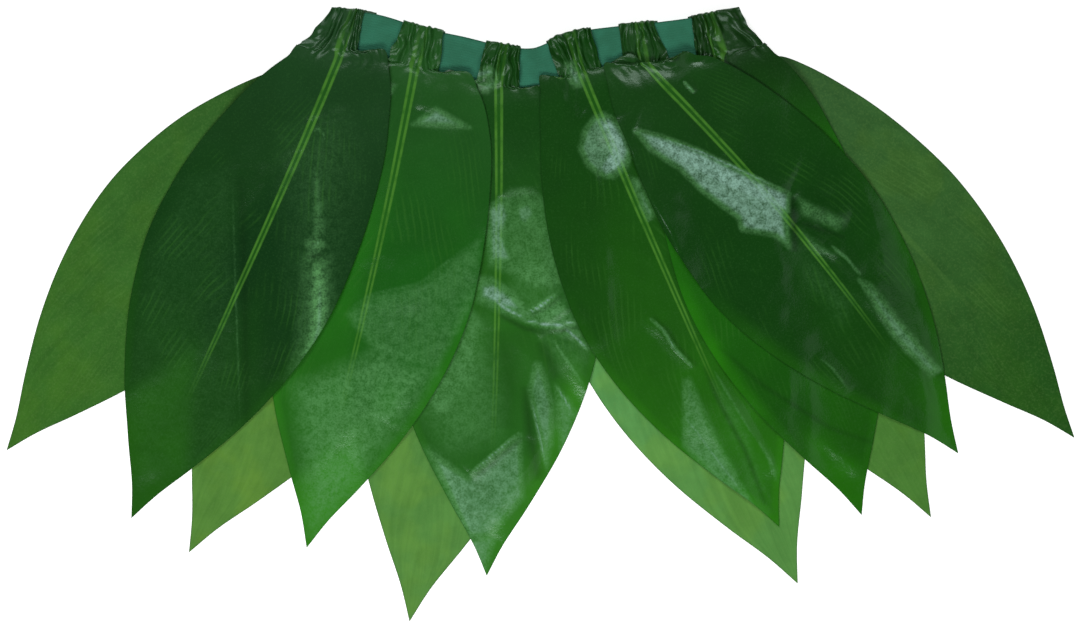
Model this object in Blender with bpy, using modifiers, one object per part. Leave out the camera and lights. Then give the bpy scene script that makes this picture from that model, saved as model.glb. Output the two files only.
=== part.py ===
"""A leaf skirt laid flat: twelve cloth leaves gathered onto an elastic waistband.

The skirt lies on its back on the plane z = 0. +Y is towards the waist and +Z is its front. Lengths are in
metres. Six leaves hang from the back ply of the band and rest on the plane. Six more hang from its front ply
and lie on them. Each leaf is one sheet: a hem, a casing folded round the elastic and gathered along it, and
the blade.
"""

from collections import namedtuple

import bmesh
import bpy
import numpy as np

# Driving sizes.
ELASTIC_HEIGHT = 0.025
ELASTIC_THICKNESS = 0.0015
CLOTH = 0.001
SEAM_GAP = 0.0003
LAY_GAP = 0.0005
CASING_HALF_WIDTH = 0.0128
HEM_LENGTH = 0.003
PLEAT_DEPTH = 0.0016
PLEAT_REACH = 0.070
SEAM_FALL_SHARE = 0.30
TURN_SHARE = 0.12
END_REACH = 0.040
LEFT_END_LEAN = 0.30
RIGHT_END_LEAN = -0.15
SHOULDER_SHARE = 0.10
SHOULDER_RISE = 0.0022
RISE_SHARE = 0.03

# How finely the sheets are divided. Each gathered casing has one pleat for every two cells across.
CELLS_ACROSS = 12
PLY_CELLS = 26
FOLD_CELLS = 4
BAND_CELLS_HIGH = 2
BLADE_ROWS = (0.0, 0.017, 0.045, 0.09, 0.16, 0.24, 0.33, 0.42, 0.51, 0.60, 0.69, 0.78, 0.86, 0.93, 1.0)

# The height map of what already lies on the plane, and how a sheet is tested against it.
MAP_CELL = 0.002
MAP_HALF_X = 0.36
MAP_HALF_Y = 0.22
TEST_POINTS = 9
DRAW_POINTS = 17
SETTLE_PASSES = 40
SOFT_PASSES = 4

# Mid-height line of the laid elastic, from its left fold to its right fold: x, y.
WAIST_LINE = (
    (-0.1365, 0.1825),
    (-0.1060, 0.1790),
    (-0.0800, 0.1710),
    (-0.0520, 0.1650),
    (-0.0260, 0.1590),
    (-0.0030, 0.1575),
    (0.0220, 0.1670),
    (0.0510, 0.1715),
    (0.0760, 0.1740),
    (0.1020, 0.1775),
    (0.1285, 0.1825),
)

# The one shape all leaves are cut to: share of the blade's length, share of its greatest half width.
LEAF_CUT = (
    (0.00, 0.20),
    (0.015, 0.41),
    (0.05, 0.58),
    (0.12, 0.765),
    (0.24, 0.92),
    (0.38, 0.995),
    (0.46, 1.00),
    (0.60, 0.89),
    (0.74, 0.65),
    (0.86, 0.35),
    (0.94, 0.13),
    (1.00, 0.00),
)

# Where each leaf lies, in the order that they are laid down. foot is the x of its casing's middle on the
# band. middle and tip are points of its midrib. left and right are its greatest half widths, and left_more
# and right_more are what its gathered shoulders add to them.
Leaf = namedtuple("Leaf", "name foot middle tip left right left_more right_more")
BACK_LEAVES = (
    Leaf("back_leaf_1", -0.1215, (-0.239, 0.040), (-0.3425, -0.0875), 0.056, 0.056, -0.020, -0.022),
    Leaf("back_leaf_6", 0.1090, (0.237, 0.047), (0.3425, -0.0795), 0.051, 0.050, -0.020, -0.014),
    Leaf("back_leaf_2", -0.0760, (-0.151, 0.003), (-0.2255, -0.1530), 0.061, 0.070, -0.026, -0.028),
    Leaf("back_leaf_5", 0.0640, (0.162, 0.019), (0.2505, -0.1305), 0.062, 0.058, -0.026, -0.024),
    Leaf("back_leaf_3", -0.0260, (-0.059, -0.021), (-0.0840, -0.1973), 0.066, 0.070, -0.028, -0.028),
    Leaf("back_leaf_4", 0.0215, (0.089, -0.009), (0.1640, -0.1730), 0.069, 0.070, -0.028, -0.028),
)
FRONT_LEAVES = (
    Leaf("front_leaf_3", -0.0250, (-0.028, -0.009), (-0.0345, -0.1680), 0.070, 0.071, 0.000, 0.000),
    Leaf("front_leaf_2", -0.0770, (-0.112, 0.005), (-0.1495, -0.1500), 0.058, 0.069, 0.000, 0.004),
    Leaf("front_leaf_1", -0.1225, (-0.193, 0.017), (-0.2620, -0.1310), 0.064, 0.063, -0.012, 0.000),
    Leaf("front_leaf_4", 0.0225, (0.088, 0.009), (0.1530, -0.1365), 0.066, 0.066, -0.010, 0.000),
    Leaf("front_leaf_6", 0.1090, (0.159, 0.021), (0.2060, -0.1290), 0.066, 0.062, 0.000, 0.000),
    Leaf("front_leaf_5", 0.0640, (0.174, 0.041), (0.2680, -0.0895), 0.068, 0.055, 0.000, -0.008),
)

# The largest soft folds of the front leaves. start and end are (side, share of the length), with side -1 at
# the leaf's left edge and 1 at its right. half_width is a share of the leaf's half width.
Fold = namedtuple("Fold", "leaf start end height half_width")
FOLDS = (
    Fold("front_leaf_1", (0.45, 0.16), (0.50, 0.72), 0.0050, 0.26),
    Fold("front_leaf_1", (-0.45, 0.22), (-0.10, 0.85), 0.0035, 0.24),
    Fold("front_leaf_2", (0.35, 0.10), (0.45, 0.55), 0.0040, 0.28),
    Fold("front_leaf_2", (-0.20, 0.45), (0.15, 0.92), 0.0045, 0.40),
    Fold("front_leaf_3", (0.35, 0.18), (0.20, 0.62), 0.0060, 0.24),
    Fold("front_leaf_3", (-0.25, 0.55), (0.25, 0.92), 0.0050, 0.30),
    Fold("front_leaf_4", (0.35, 0.10), (0.10, 0.50), 0.0050, 0.26),
    Fold("front_leaf_4", (-0.10, 0.55), (0.10, 0.95), 0.0045, 0.30),
    Fold("front_leaf_5", (-0.55, 0.16), (0.20, 0.52), 0.0055, 0.26),
    Fold("front_leaf_5", (0.45, 0.50), (0.20, 0.92), 0.0045, 0.28),
    Fold("front_leaf_6", (-0.50, 0.50), (-0.10, 0.92), 0.0030, 0.30),
)

BACK_PLY_Z = CLOTH + SEAM_GAP + ELASTIC_THICKNESS / 2
FRONT_PLY_Z = BACK_PLY_Z + ELASTIC_THICKNESS + 2 * (SEAM_GAP + CLOTH) + SEAM_GAP
CASING_REACH = ELASTIC_THICKNESS / 2 + SEAM_GAP
CASING_DIAGONAL = CASING_REACH * 0.5**0.5
BAND_EDGE = ELASTIC_HEIGHT / 2

# The rows of hem and casing, from the hem's end over the top edge to the seam. height is up the band from its
# middle line and level is out from its ply. push_up and push_out are the shares of the pleats' depth that
# each row moves by on a crest.
CasingRow = namedtuple("CasingRow", "height level push_up push_out")
CASING_ROWS = (
    CasingRow(-BAND_EDGE - HEM_LENGTH, CASING_REACH - SEAM_GAP, 0.0, 0.0),
    CasingRow(-BAND_EDGE - 2 * SEAM_GAP, -CASING_REACH, 0.0, 0.0),
    CasingRow(BAND_EDGE, -CASING_REACH, 0.0, 0.0),
    CasingRow(BAND_EDGE + CASING_DIAGONAL, -CASING_DIAGONAL, 0.2, 0.0),
    CasingRow(BAND_EDGE + CASING_REACH, 0.0, 0.7, 0.0),
    CasingRow(BAND_EDGE + CASING_DIAGONAL, CASING_DIAGONAL, 0.7, 0.7),
    CasingRow(BAND_EDGE, CASING_REACH, 0.0, 1.0),
    CasingRow(0.0, CASING_REACH, 0.0, 1.0),
    CasingRow(-BAND_EDGE, CASING_REACH, 0.0, 1.0),
)
INNER_ROWS = 3


def through(stations, x):
    """Smooth curve through (x, y) stations: a cubic on each span, with the slopes of its neighbours."""
    knots, values = np.array(stations, float).T
    slopes = np.gradient(values, knots)
    span = np.clip(np.searchsorted(knots, x, side="right") - 1, 0, len(knots) - 2)
    width = knots[span + 1] - knots[span]
    t = (x - knots[span]) / width
    return (
        (2 * t**3 - 3 * t**2 + 1) * values[span]
        + (t**3 - 2 * t**2 + t) * width * slopes[span]
        + (3 * t**2 - 2 * t**3) * values[span + 1]
        + (t**3 - t**2) * width * slopes[span + 1]
    )


def ease(share):
    """0 below 0, 1 above 1, and a smooth step between."""
    share = np.clip(share, 0, 1)
    return share * share * (3 - 2 * share)


def unit(vectors):
    return vectors / np.linalg.norm(vectors, axis=-1, keepdims=True)


def waist(x):
    """Point of the band's mid-height line at x, the direction along the band, and the way up it.

    The way up is square to the band, and leans inwards near the two ends, where the loop folds at a slant.
    """
    step = 0.0005
    rise = through(WAIST_LINE, x + step) - through(WAIST_LINE, x - step)
    along = unit(np.stack([np.full_like(x, 2 * step), rise], axis=-1))
    square = np.stack([-along[..., 1], along[..., 0]], axis=-1)
    lean = LEFT_END_LEAN * (1 - ease((x - WAIST_LINE[0][0]) / END_REACH))
    lean = lean + RIGHT_END_LEAN * (1 - ease((WAIST_LINE[-1][0] - x) / END_REACH))
    up = square + along * lean[..., None]
    return np.stack([x, through(WAIST_LINE, x)], axis=-1), along, up


def half_width(leaf, share, side):
    """Distance from the midrib to the leaf's edge on each side, at each share of the length."""
    cut = through(LEAF_CUT, share)
    bump = share / SHOULDER_SHARE * np.exp(1 - share / SHOULDER_SHARE) * (1 - share)
    left = cut * leaf.left + bump * leaf.left_more
    right = cut * leaf.right + bump * leaf.right_more
    return np.where(side < 0, left, right)


def blade_plan(leaf, side, share):
    """x and y of the blade, for each share of its length (rows) and each side from -1 to 1 (columns).

    The midrib is a quadratic curve. The rows start along the band and turn square to the midrib within
    TURN_SHARE. The first ones bend up at both sides, as gathered shoulders do.
    """
    foot, along, up = waist(np.array(leaf.foot))
    root = foot - up * BAND_EDGE
    away_from_band = np.array([along[1], -along[0]])
    tip = np.array(leaf.tip)
    control = 2 * np.array(leaf.middle) - (root + tip) / 2
    t = share[:, None]
    midrib = (1 - t) ** 2 * root + 2 * t * (1 - t) * control + t**2 * tip
    heading = unit((1 - t) * (control - root) + t * (tip - control))
    turned = ease(t / TURN_SHARE)
    heading = unit(heading * turned + away_from_band * (1 - turned))
    across = np.stack([-heading[:, 1], heading[:, 0]], axis=-1)
    reach = half_width(leaf, share[:, None], side[None, :]) * side[None, :]
    rise = SHOULDER_RISE * side[None, :] ** 2 * np.exp(-t / RISE_SHARE)
    sideways = across[:, None, :] * reach[:, :, None]
    upwards = -heading[:, None, :] * rise[:, :, None]
    return midrib[:, None, :] + sideways + upwards


def pleats(side):
    """0 in the valleys and 1 on the crests of the gathers: a crest for every two cells across."""
    return np.arange(len(side)) % 2


def casing_sheet(leaf, side, front):
    """The face of hem and casing next to the elastic. A back casing lies flat, so its pleats push only up."""
    _, along, _ = waist(np.array(leaf.foot))
    middle, _, up = waist(leaf.foot + side * CASING_HALF_WIDTH * along[0])
    crest = pleats(side) * PLEAT_DEPTH
    rows = []
    for row in CASING_ROWS:
        plan = middle + up * (row.height + crest * row.push_up)[:, None]
        if front:
            z = FRONT_PLY_Z + row.level + crest * row.push_out
        else:
            z = np.full_like(crest, BACK_PLY_Z - row.level)
        rows.append(np.column_stack([plan, z]))
    return np.array(rows)


def fold_relief(leaf, side, share):
    """Height that the leaf's soft folds add: a rounded ridge along each line, fading out at both ends."""
    relief = np.zeros((len(share), len(side)))
    for fold in FOLDS:
        if fold.leaf != leaf.name:
            continue
        (side_0, share_0), (side_1, share_1) = fold.start, fold.end
        run = np.clip((share - share_0) / (share_1 - share_0), 0, 1)[:, None]
        off_line = (side[None, :] - side_0 - (side_1 - side_0) * run) / fold.half_width
        relief += fold.height * np.sin(np.pi * run) * np.exp(-(off_line**2))
    return relief


def map_index(x, y):
    """Row and column of the height map for each point."""
    column = np.rint((x + MAP_HALF_X) / MAP_CELL).astype(int)
    row = np.rint((y + MAP_HALF_Y) / MAP_CELL).astype(int)
    return row, column


def bare_map():
    """The height map of the bare plane, set so that what rests on it with LAY_GAP is at z = 0."""
    rows, columns = (int(round(2 * half / MAP_CELL)) + 1 for half in (MAP_HALF_Y, MAP_HALF_X))
    return np.full((rows, columns), -LAY_GAP)


def spread(heights):
    """The height map with each cell raised to its highest neighbour."""
    padded = np.pad(heights, 1, mode="edge")
    rows, columns = heights.shape
    shifted = [padded[r : r + rows, c : c + columns] for r in range(3) for c in range(3)]
    return np.max(shifted, axis=0)


def cell_blend(points, down, over):
    """The point of every cell at shares down and over of it, and its four corners' weights."""
    weights = ((1 - down) * (1 - over), (1 - down) * over, down * (1 - over), down * over)
    corners = (points[:-1, :-1], points[:-1, 1:], points[1:, :-1], points[1:, 1:])
    return sum(w * corner for w, corner in zip(weights, corners)), weights


def draw_on(heights, points, thickness):
    """Marks a sheet's top on the height map."""
    for down in np.linspace(0, 1, DRAW_POINTS):
        for over in np.linspace(0, 1, DRAW_POINTS):
            at, _ = cell_blend(points, down, over)
            np.maximum.at(heights, map_index(at[..., 0], at[..., 1]), at[..., 2] + thickness)


def corner_slices():
    upper, lower = slice(None, -1), slice(1, None)
    return (upper, upper), (upper, lower), (lower, upper), (lower, lower)


def settle(points, heights, fixed_rows):
    """Raises the points, as little as needed, until every cell of the sheet clears the height map.

    The last row is the leaf's tip, where all columns meet in one point.
    """
    free = np.ones(points.shape[:2])
    free[:fixed_rows] = 0
    tested = free[:-1, :-1]
    ground = spread(heights)
    for step in range(SETTLE_PASSES):
        lift = np.zeros(points.shape[:2])
        for down in np.linspace(0, 1, TEST_POINTS):
            for over in np.linspace(0, 1, TEST_POINTS):
                at, weights = cell_blend(points, down, over)
                clear_z = ground[map_index(at[..., 0], at[..., 1])] + LAY_GAP
                need = tested * np.maximum(clear_z - at[..., 2], 0)
                shares = [w * free[corner] for w, corner in zip(weights, corner_slices())]
                total = np.maximum(sum(share**2 for share in shares), 1e-6)
                for share, corner in zip(shares, corner_slices()):
                    lift[corner] = np.maximum(lift[corner], need * share / total)
        if lift.max() < 0.01 * LAY_GAP:
            break
        if step < SOFT_PASSES:
            padded = np.pad(lift, 1, mode="edge")
            beside = (padded[:-2, 1:-1] + padded[2:, 1:-1] + padded[1:-1, :-2] + padded[1:-1, 2:]) / 4
            lift = np.maximum(lift, beside * free)
        points[..., 2] += lift
        points[-1, :, 2] = points[-1, :, 2].max()
    return points


def blade_sheet(leaf, side, front, heights):
    """The blade's underside, laid on what is already there."""
    share = np.array(BLADE_ROWS)
    plan = blade_plan(leaf, side, share)
    if not front:
        flat = np.zeros(plan.shape[:2])
        return settle(np.dstack([plan, flat]), heights, fixed_rows=2)
    seam = casing_sheet(leaf, side, front)[-1]
    plan[0] = seam[:, :2]
    seam_z = FRONT_PLY_Z + CASING_REACH
    natural = seam_z * (1 - ease(share / SEAM_FALL_SHARE))[:, None] + fold_relief(leaf, side, share)
    from_seam = np.linalg.norm(plan - seam[None, :, :2], axis=-1)
    natural += pleats(side)[None, :] * PLEAT_DEPTH * np.exp(-((from_seam / PLEAT_REACH) ** 2))
    return settle(np.dstack([plan, natural]), heights, fixed_rows=0)


def sheet_object(name, points, thickness, material, flip=False, offset=1):
    """A grid of points as a sheet, with its thickness on one side of the points (offset 1) or on both (0)."""
    rows, columns = points.shape[:2]
    mesh = bpy.data.meshes.new(name)
    grid = bmesh.new()
    bmesh.ops.create_grid(grid, x_segments=columns - 1, y_segments=rows - 1, size=1)
    for vertex in grid.verts:
        column = round((vertex.co.x + 1) / 2 * (columns - 1))
        row = round((vertex.co.y + 1) / 2 * (rows - 1))
        vertex.co = points[row, column]
    bmesh.ops.remove_doubles(grid, verts=grid.verts, dist=1e-6)
    if flip:
        bmesh.ops.reverse_faces(grid, faces=grid.faces)
    grid.to_mesh(mesh)
    grid.free()
    mesh.shade_smooth()
    mesh.materials.append(material)
    sheet = bpy.data.objects.new(name, mesh)
    wall = sheet.modifiers.new("wall", "SOLIDIFY")
    wall.thickness = thickness
    wall.offset = offset
    return sheet


def band_points():
    """Mid-surface of the elastic as it lies: a flattened ring, with rows up the band and columns round it."""
    left, right = WAIST_LINE[0][0], WAIST_LINE[-1][0]
    radius = (FRONT_PLY_Z - BACK_PLY_Z) / 2
    centre_z = (FRONT_PLY_Z + BACK_PLY_Z) / 2
    ply = np.linspace(left, right, PLY_CELLS + 1)[:-1]
    turn = np.linspace(0, np.pi, FOLD_CELLS + 1)[:-1]
    returning = ply[::-1] + right - ply[-1]
    straight = np.zeros(PLY_CELLS)
    station = np.concatenate([ply, np.full(FOLD_CELLS, right), returning, np.full(FOLD_CELLS, left)])
    bulge = np.concatenate([straight, radius * np.sin(turn), straight, -radius * np.sin(turn)])
    lift = radius * np.concatenate([straight + 1, np.cos(turn), straight - 1, -np.cos(turn)])
    middle, along, up = waist(station)
    rows = []
    for height in np.linspace(-BAND_EDGE, BAND_EDGE, BAND_CELLS_HIGH + 1):
        plan = middle + along * bulge[:, None] + up * height
        rows.append(np.column_stack([plan, centre_z + lift]))
    ring = np.array(rows)
    return np.concatenate([ring, ring[:, :1]], axis=1)


def cloth_material(name, colour, roughness):
    material = bpy.data.materials.new(name)
    material.use_nodes = True
    shader = material.node_tree.nodes["Principled BSDF"]
    shader.inputs["Base Color"].default_value = (*colour, 1)
    shader.inputs["Roughness"].default_value = roughness
    shader.inputs["Metallic"].default_value = 0
    return material


def main():
    for obj in list(bpy.data.objects):
        bpy.data.objects.remove(obj)
    skirt = bpy.data.collections.new("leaf_skirt")
    bpy.context.scene.collection.children.link(skirt)
    front_cloth = cloth_material("printed leaf cloth", (0.016, 0.078, 0.012), 0.38)
    back_cloth = cloth_material("pale leaf cloth", (0.075, 0.21, 0.045), 0.55)
    elastic = cloth_material("green elastic", (0.028, 0.145, 0.082), 0.75)

    side = np.linspace(-1, 1, CELLS_ACROSS + 1)
    band = band_points()
    skirt.objects.link(sheet_object("waistband", band, ELASTIC_THICKNESS, elastic, offset=0))

    heights = bare_map()
    for leaf in BACK_LEAVES:
        casing = casing_sheet(leaf, side, front=False)
        blade = blade_sheet(leaf, side, False, heights)
        draw_on(heights, blade, CLOTH)
        draw_on(heights, casing[:INNER_ROWS], CLOTH)
        blade[..., 2] += CLOTH
        sheet = np.concatenate([casing, blade[1:]])
        skirt.objects.link(sheet_object(leaf.name, sheet, CLOTH, back_cloth))

    draw_on(heights, band, ELASTIC_THICKNESS / 2)
    casings = {leaf.name: casing_sheet(leaf, side, front=True) for leaf in FRONT_LEAVES}
    casing_maps = {}
    for name, casing in casings.items():
        casing_maps[name] = bare_map()
        draw_on(casing_maps[name], casing, CLOTH)
    for leaf in FRONT_LEAVES:
        others = [casing_maps[name] for name in casings if name != leaf.name]
        blade = blade_sheet(leaf, side, True, np.max([heights, *others], axis=0))
        draw_on(heights, blade, CLOTH)
        sheet = np.concatenate([casings[leaf.name][:-1], blade])
        skirt.objects.link(sheet_object(leaf.name, sheet, CLOTH, front_cloth, flip=True))


main()
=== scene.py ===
# %% [markdown]
# # A leaf skirt, laid flat
# Twelve cloth leaves hang from a narrow elastic waistband: six from its back ply and six from its front
# ply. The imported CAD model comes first. Every piece made here replaces one of its soft solids and lies on
# its form.

from collections import namedtuple

import bpy
import numpy as np
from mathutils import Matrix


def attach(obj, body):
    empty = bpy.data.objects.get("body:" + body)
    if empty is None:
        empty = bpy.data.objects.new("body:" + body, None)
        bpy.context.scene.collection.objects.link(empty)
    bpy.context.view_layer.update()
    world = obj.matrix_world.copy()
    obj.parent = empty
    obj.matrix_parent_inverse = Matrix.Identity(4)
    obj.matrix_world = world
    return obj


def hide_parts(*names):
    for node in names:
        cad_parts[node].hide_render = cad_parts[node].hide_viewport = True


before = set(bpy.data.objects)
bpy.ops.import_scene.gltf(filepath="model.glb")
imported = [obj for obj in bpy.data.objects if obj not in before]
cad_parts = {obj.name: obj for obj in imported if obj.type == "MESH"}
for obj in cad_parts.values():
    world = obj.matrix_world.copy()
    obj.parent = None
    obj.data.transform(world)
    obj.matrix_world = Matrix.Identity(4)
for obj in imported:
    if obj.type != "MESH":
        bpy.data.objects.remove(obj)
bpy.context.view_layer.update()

# %% [markdown]
# ## The pattern
# The skirt lies on the plane z = 0 with its waist towards +Y and its front up. These are the same named
# sizes as the CAD source has. One leaf shape serves all twelve, and a table says where each midrib lies.
# CASING_CUT is the strip of cloth that each casing was gathered from, and BLADE_CUT the usual length of a
# blade.

# %% Sizes in metres
ELASTIC_HEIGHT = 0.025
ELASTIC_THICKNESS = 0.0015
SEAM_GAP = 0.0003
CAD_CLOTH = 0.001
CLOTH = 0.0004
LAY_GAP = 0.0008
CASING_HALF_WIDTH = 0.0128
HEM_LENGTH = 0.003
SEAM_FALL_SHARE = 0.30
TURN_SHARE = 0.12
SHOULDER_SHARE = 0.10
SHOULDER_RISE = 0.0022
RISE_SHARE = 0.10
LEFT_LEAN = 0.30
RIGHT_LEAN = 0.15
LEAN_REACH = 0.040
BLADE_CUT = 0.320
CASING_CUT = (0.110, 0.056)
BAND_EDGE = ELASTIC_HEIGHT / 2
BACK_PLY_Z = CAD_CLOTH + SEAM_GAP + ELASTIC_THICKNESS / 2
FRONT_PLY_Z = BACK_PLY_Z + ELASTIC_THICKNESS + 2 * (SEAM_GAP + CAD_CLOTH) + SEAM_GAP
CASING_REACH = ELASTIC_THICKNESS / 2 + SEAM_GAP

WAIST_LINE = (
    (-0.1365, 0.1825), (-0.1060, 0.1790), (-0.0800, 0.1710), (-0.0520, 0.1650),
    (-0.0260, 0.1590), (-0.0030, 0.1575), (0.0220, 0.1670), (0.0510, 0.1715),
    (0.0760, 0.1740), (0.1020, 0.1775), (0.1285, 0.1825),
)
LEAF_CUT = (
    (0.00, 0.20), (0.015, 0.41), (0.05, 0.58), (0.12, 0.765), (0.24, 0.92), (0.38, 0.995),
    (0.46, 1.00), (0.60, 0.89), (0.74, 0.65), (0.86, 0.35), (0.94, 0.13), (1.00, 0.00),
)
Leaf = namedtuple("Leaf", "name foot middle tip left right left_more right_more")
BACK_LEAVES = (
    Leaf("back_leaf_1", -0.1215, (-0.239, 0.040), (-0.3425, -0.0875), 0.059, 0.059, -0.022, -0.024),
    Leaf("back_leaf_6", 0.1090, (0.237, 0.047), (0.3425, -0.0795), 0.063, 0.050, -0.024, -0.008),
    Leaf("back_leaf_2", -0.0760, (-0.151, 0.003), (-0.2255, -0.1530), 0.061, 0.073, -0.026, -0.028),
    Leaf("back_leaf_5", 0.0640, (0.162, 0.019), (0.2505, -0.1305), 0.061, 0.065, -0.026, -0.024),
    Leaf("back_leaf_3", -0.0260, (-0.059, -0.021), (-0.0840, -0.1973), 0.063, 0.080, -0.028, -0.028),
    Leaf("back_leaf_4", 0.0215, (0.090, -0.009), (0.1650, -0.1730), 0.071, 0.078, -0.028, -0.028),
)
FRONT_LEAVES = (
    Leaf("front_leaf_3", -0.0250, (-0.028, -0.009), (-0.0345, -0.1680), 0.072, 0.068, 0.000, 0.000),
    Leaf("front_leaf_2", -0.0770, (-0.112, 0.005), (-0.1500, -0.1500), 0.065, 0.066, 0.000, 0.005),
    Leaf("front_leaf_1", -0.1225, (-0.193, 0.017), (-0.2625, -0.1310), 0.069, 0.061, -0.012, 0.000),
    Leaf("front_leaf_4", 0.0225, (0.088, 0.009), (0.1530, -0.1365), 0.066, 0.066, -0.010, 0.000),
    Leaf("front_leaf_6", 0.1090, (0.159, 0.021), (0.2060, -0.1290), 0.068, 0.062, 0.000, 0.000),
    Leaf("front_leaf_5", 0.0640, (0.174, 0.041), (0.2680, -0.0895), 0.0715, 0.056, -0.011, -0.007),
)
# How far each front leaf's left and right shoulders are drawn up over the elastic.
SHOULDERS = {
    "front_leaf_1": (0.008, 0.013), "front_leaf_2": (0.011, 0.015), "front_leaf_3": (0.016, 0.016),
    "front_leaf_4": (0.016, 0.013), "front_leaf_5": (0.012, 0.012), "front_leaf_6": (0.009, 0.009),
}
# Reach of each front casing from the middle of its gathers: left at its top, left at its foot, right, right.
Gather = namedtuple("Gather", "left_top left_foot right_top right_foot")
GATHERS = {
    "front_leaf_1": Gather(0.0165, 0.0240, 0.0070, 0.0080),
    "front_leaf_2": Gather(0.0155, 0.0165, 0.0125, 0.0150),
    "front_leaf_3": Gather(0.0135, 0.0130, 0.0110, 0.0125),
    "front_leaf_4": Gather(0.0140, 0.0155, 0.0120, 0.0150),
    "front_leaf_5": Gather(0.0125, 0.0125, 0.0100, 0.0170),
    "front_leaf_6": Gather(0.0105, 0.0120, 0.0220, 0.0290),
}
print("leaves:", len(BACK_LEAVES) + len(FRONT_LEAVES))

# %% [markdown]
# ## The plan of a leaf
# The waist is a smooth curve through stations. A leaf hangs from it on a curved midrib, with one cut for
# its edges. Its rows start along the band and turn square to the midrib further down.

# %% Curves of the pattern
def through(stations, x):
    """Smooth curve through (x, y) stations: a cubic on each span, with the slopes of its neighbours."""
    knots, values = np.array(stations, float).T
    slopes = np.gradient(values, knots)
    span = np.clip(np.searchsorted(knots, x, side="right") - 1, 0, len(knots) - 2)
    width = knots[span + 1] - knots[span]
    t = (x - knots[span]) / width
    return (
        (2 * t**3 - 3 * t**2 + 1) * values[span]
        + (t**3 - 2 * t**2 + t) * width * slopes[span]
        + (3 * t**2 - 2 * t**3) * values[span + 1]
        + (t**3 - t**2) * width * slopes[span + 1]
    )


def ease(share):
    """0 below 0, 1 above 1, and a smooth step between: t squared times (3 - 2t)."""
    share = np.clip(share, 0, 1)
    return share * share * (3 - 2 * share)


def unit(vectors):
    return vectors / np.linalg.norm(vectors, axis=-1, keepdims=True)


def waist(x):
    """Point of the band's mid-height line at x, the direction along the band, and the way up it."""
    step = 0.0005
    rise = through(WAIST_LINE, x + step) - through(WAIST_LINE, x - step)
    along = unit(np.stack([np.full_like(x, 2 * step), rise], axis=-1))
    square = np.stack([-along[..., 1], along[..., 0]], axis=-1)
    lean = LEFT_LEAN * (1 - ease((x - WAIST_LINE[0][0]) / LEAN_REACH))
    lean = lean - RIGHT_LEAN * (1 - ease((WAIST_LINE[-1][0] - x) / LEAN_REACH))
    return np.stack([x, through(WAIST_LINE, x)], axis=-1), along, square + along * lean[..., None]


def half_width(leaf, share, side):
    """Distance from the midrib to the leaf's edge on each side, at each share of the length."""
    cut = through(LEAF_CUT, share)
    bump = share / SHOULDER_SHARE * np.exp(1 - share / SHOULDER_SHARE) * (1 - share)
    left = cut * leaf.left + bump * leaf.left_more
    right = cut * leaf.right + bump * leaf.right_more
    return np.where(side < 0, left, right)


def blade_plan(leaf, side, share):
    """x and y of the blade: a quadratic midrib, and rows that turn from the band's way to square to it."""
    foot, along, up = waist(np.array(leaf.foot))
    root = foot - up * BAND_EDGE
    tip = np.array(leaf.tip)
    control = 2 * np.array(leaf.middle) - (root + tip) / 2
    t = share[:, None]
    midrib = (1 - t) ** 2 * root + 2 * t * (1 - t) * control + t**2 * tip
    heading = unit((1 - t) * (control - root) + t * (tip - control))
    turned = ease(t / TURN_SHARE)
    heading = unit(heading * turned + np.array([along[1], -along[0]]) * (1 - turned))
    across = np.stack([-heading[:, 1], heading[:, 0]], axis=-1)
    reach = half_width(leaf, share[:, None], side[None, :]) * side[None, :]
    left_rise, right_rise = SHOULDERS.get(leaf.name, (SHOULDER_RISE, SHOULDER_RISE))
    rise = np.where(side < 0, left_rise, right_rise) * np.abs(side) ** 1.2 * np.exp(-t / RISE_SHARE)
    beside = midrib[:, None, :] + across[:, None, :] * reach[:, :, None]
    return beside - heading[:, None, :] * rise[:, :, None]


def blade_length(leaf):
    plan = blade_plan(leaf, np.array([0.0, 1e-6]), np.linspace(0, 1, 200))[:, 0]
    return float(np.linalg.norm(np.diff(plan, axis=0), axis=1).sum())


def leaf_cut(leaf):
    """Width, length and area of the flat cut: its blade, summed over its length, and the casing's strip."""
    share = np.linspace(0, 1, 400)
    width = half_width(leaf, share, np.array(-1)) + half_width(leaf, share, np.array(1))
    length = blade_length(leaf)
    area = float(width.mean() * length) + CASING_CUT[0] * CASING_CUT[1]
    return float(width.max()), length + CASING_CUT[1], area


print("blade lengths in mm:", [round(1000 * blade_length(leaf)) for leaf in BACK_LEAVES + FRONT_LEAVES])

# %% [markdown]
# ## Lines and noise
# Places are given as they are seen from above in a view of 1080 by 622 points, at 0.64 mm a point,
# because that is how they are read off. A line is a row of places. Noise is smooth and the same on
# every run.

# %% Noise, places and lines
VIEW_STEP = 0.00064
VIEW_MIDDLE = (540.5, 314)


def noise(seed, across, down):
    """Smooth random numbers from -1 to 1, with a new value at every whole number of across and down."""
    table = np.random.default_rng(seed).uniform(-1, 1, (64, 64))
    a0, d0 = np.floor(across).astype(int), np.floor(down).astype(int)
    a, d = ease(across - a0), ease(down - d0)
    near = (1 - d) * table[a0 % 64, d0 % 64] + d * table[a0 % 64, (d0 + 1) % 64]
    far = (1 - d) * table[(a0 + 1) % 64, d0 % 64] + d * table[(a0 + 1) % 64, (d0 + 1) % 64]
    return (1 - a) * near + a * far


def places(spots):
    """Points on the skirt in metres, from places in the view from above."""
    spots = np.array(spots, float)
    return np.stack([spots[:, 0] - VIEW_MIDDLE[0], VIEW_MIDDLE[1] - spots[:, 1]], axis=-1) * VIEW_STEP


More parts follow.
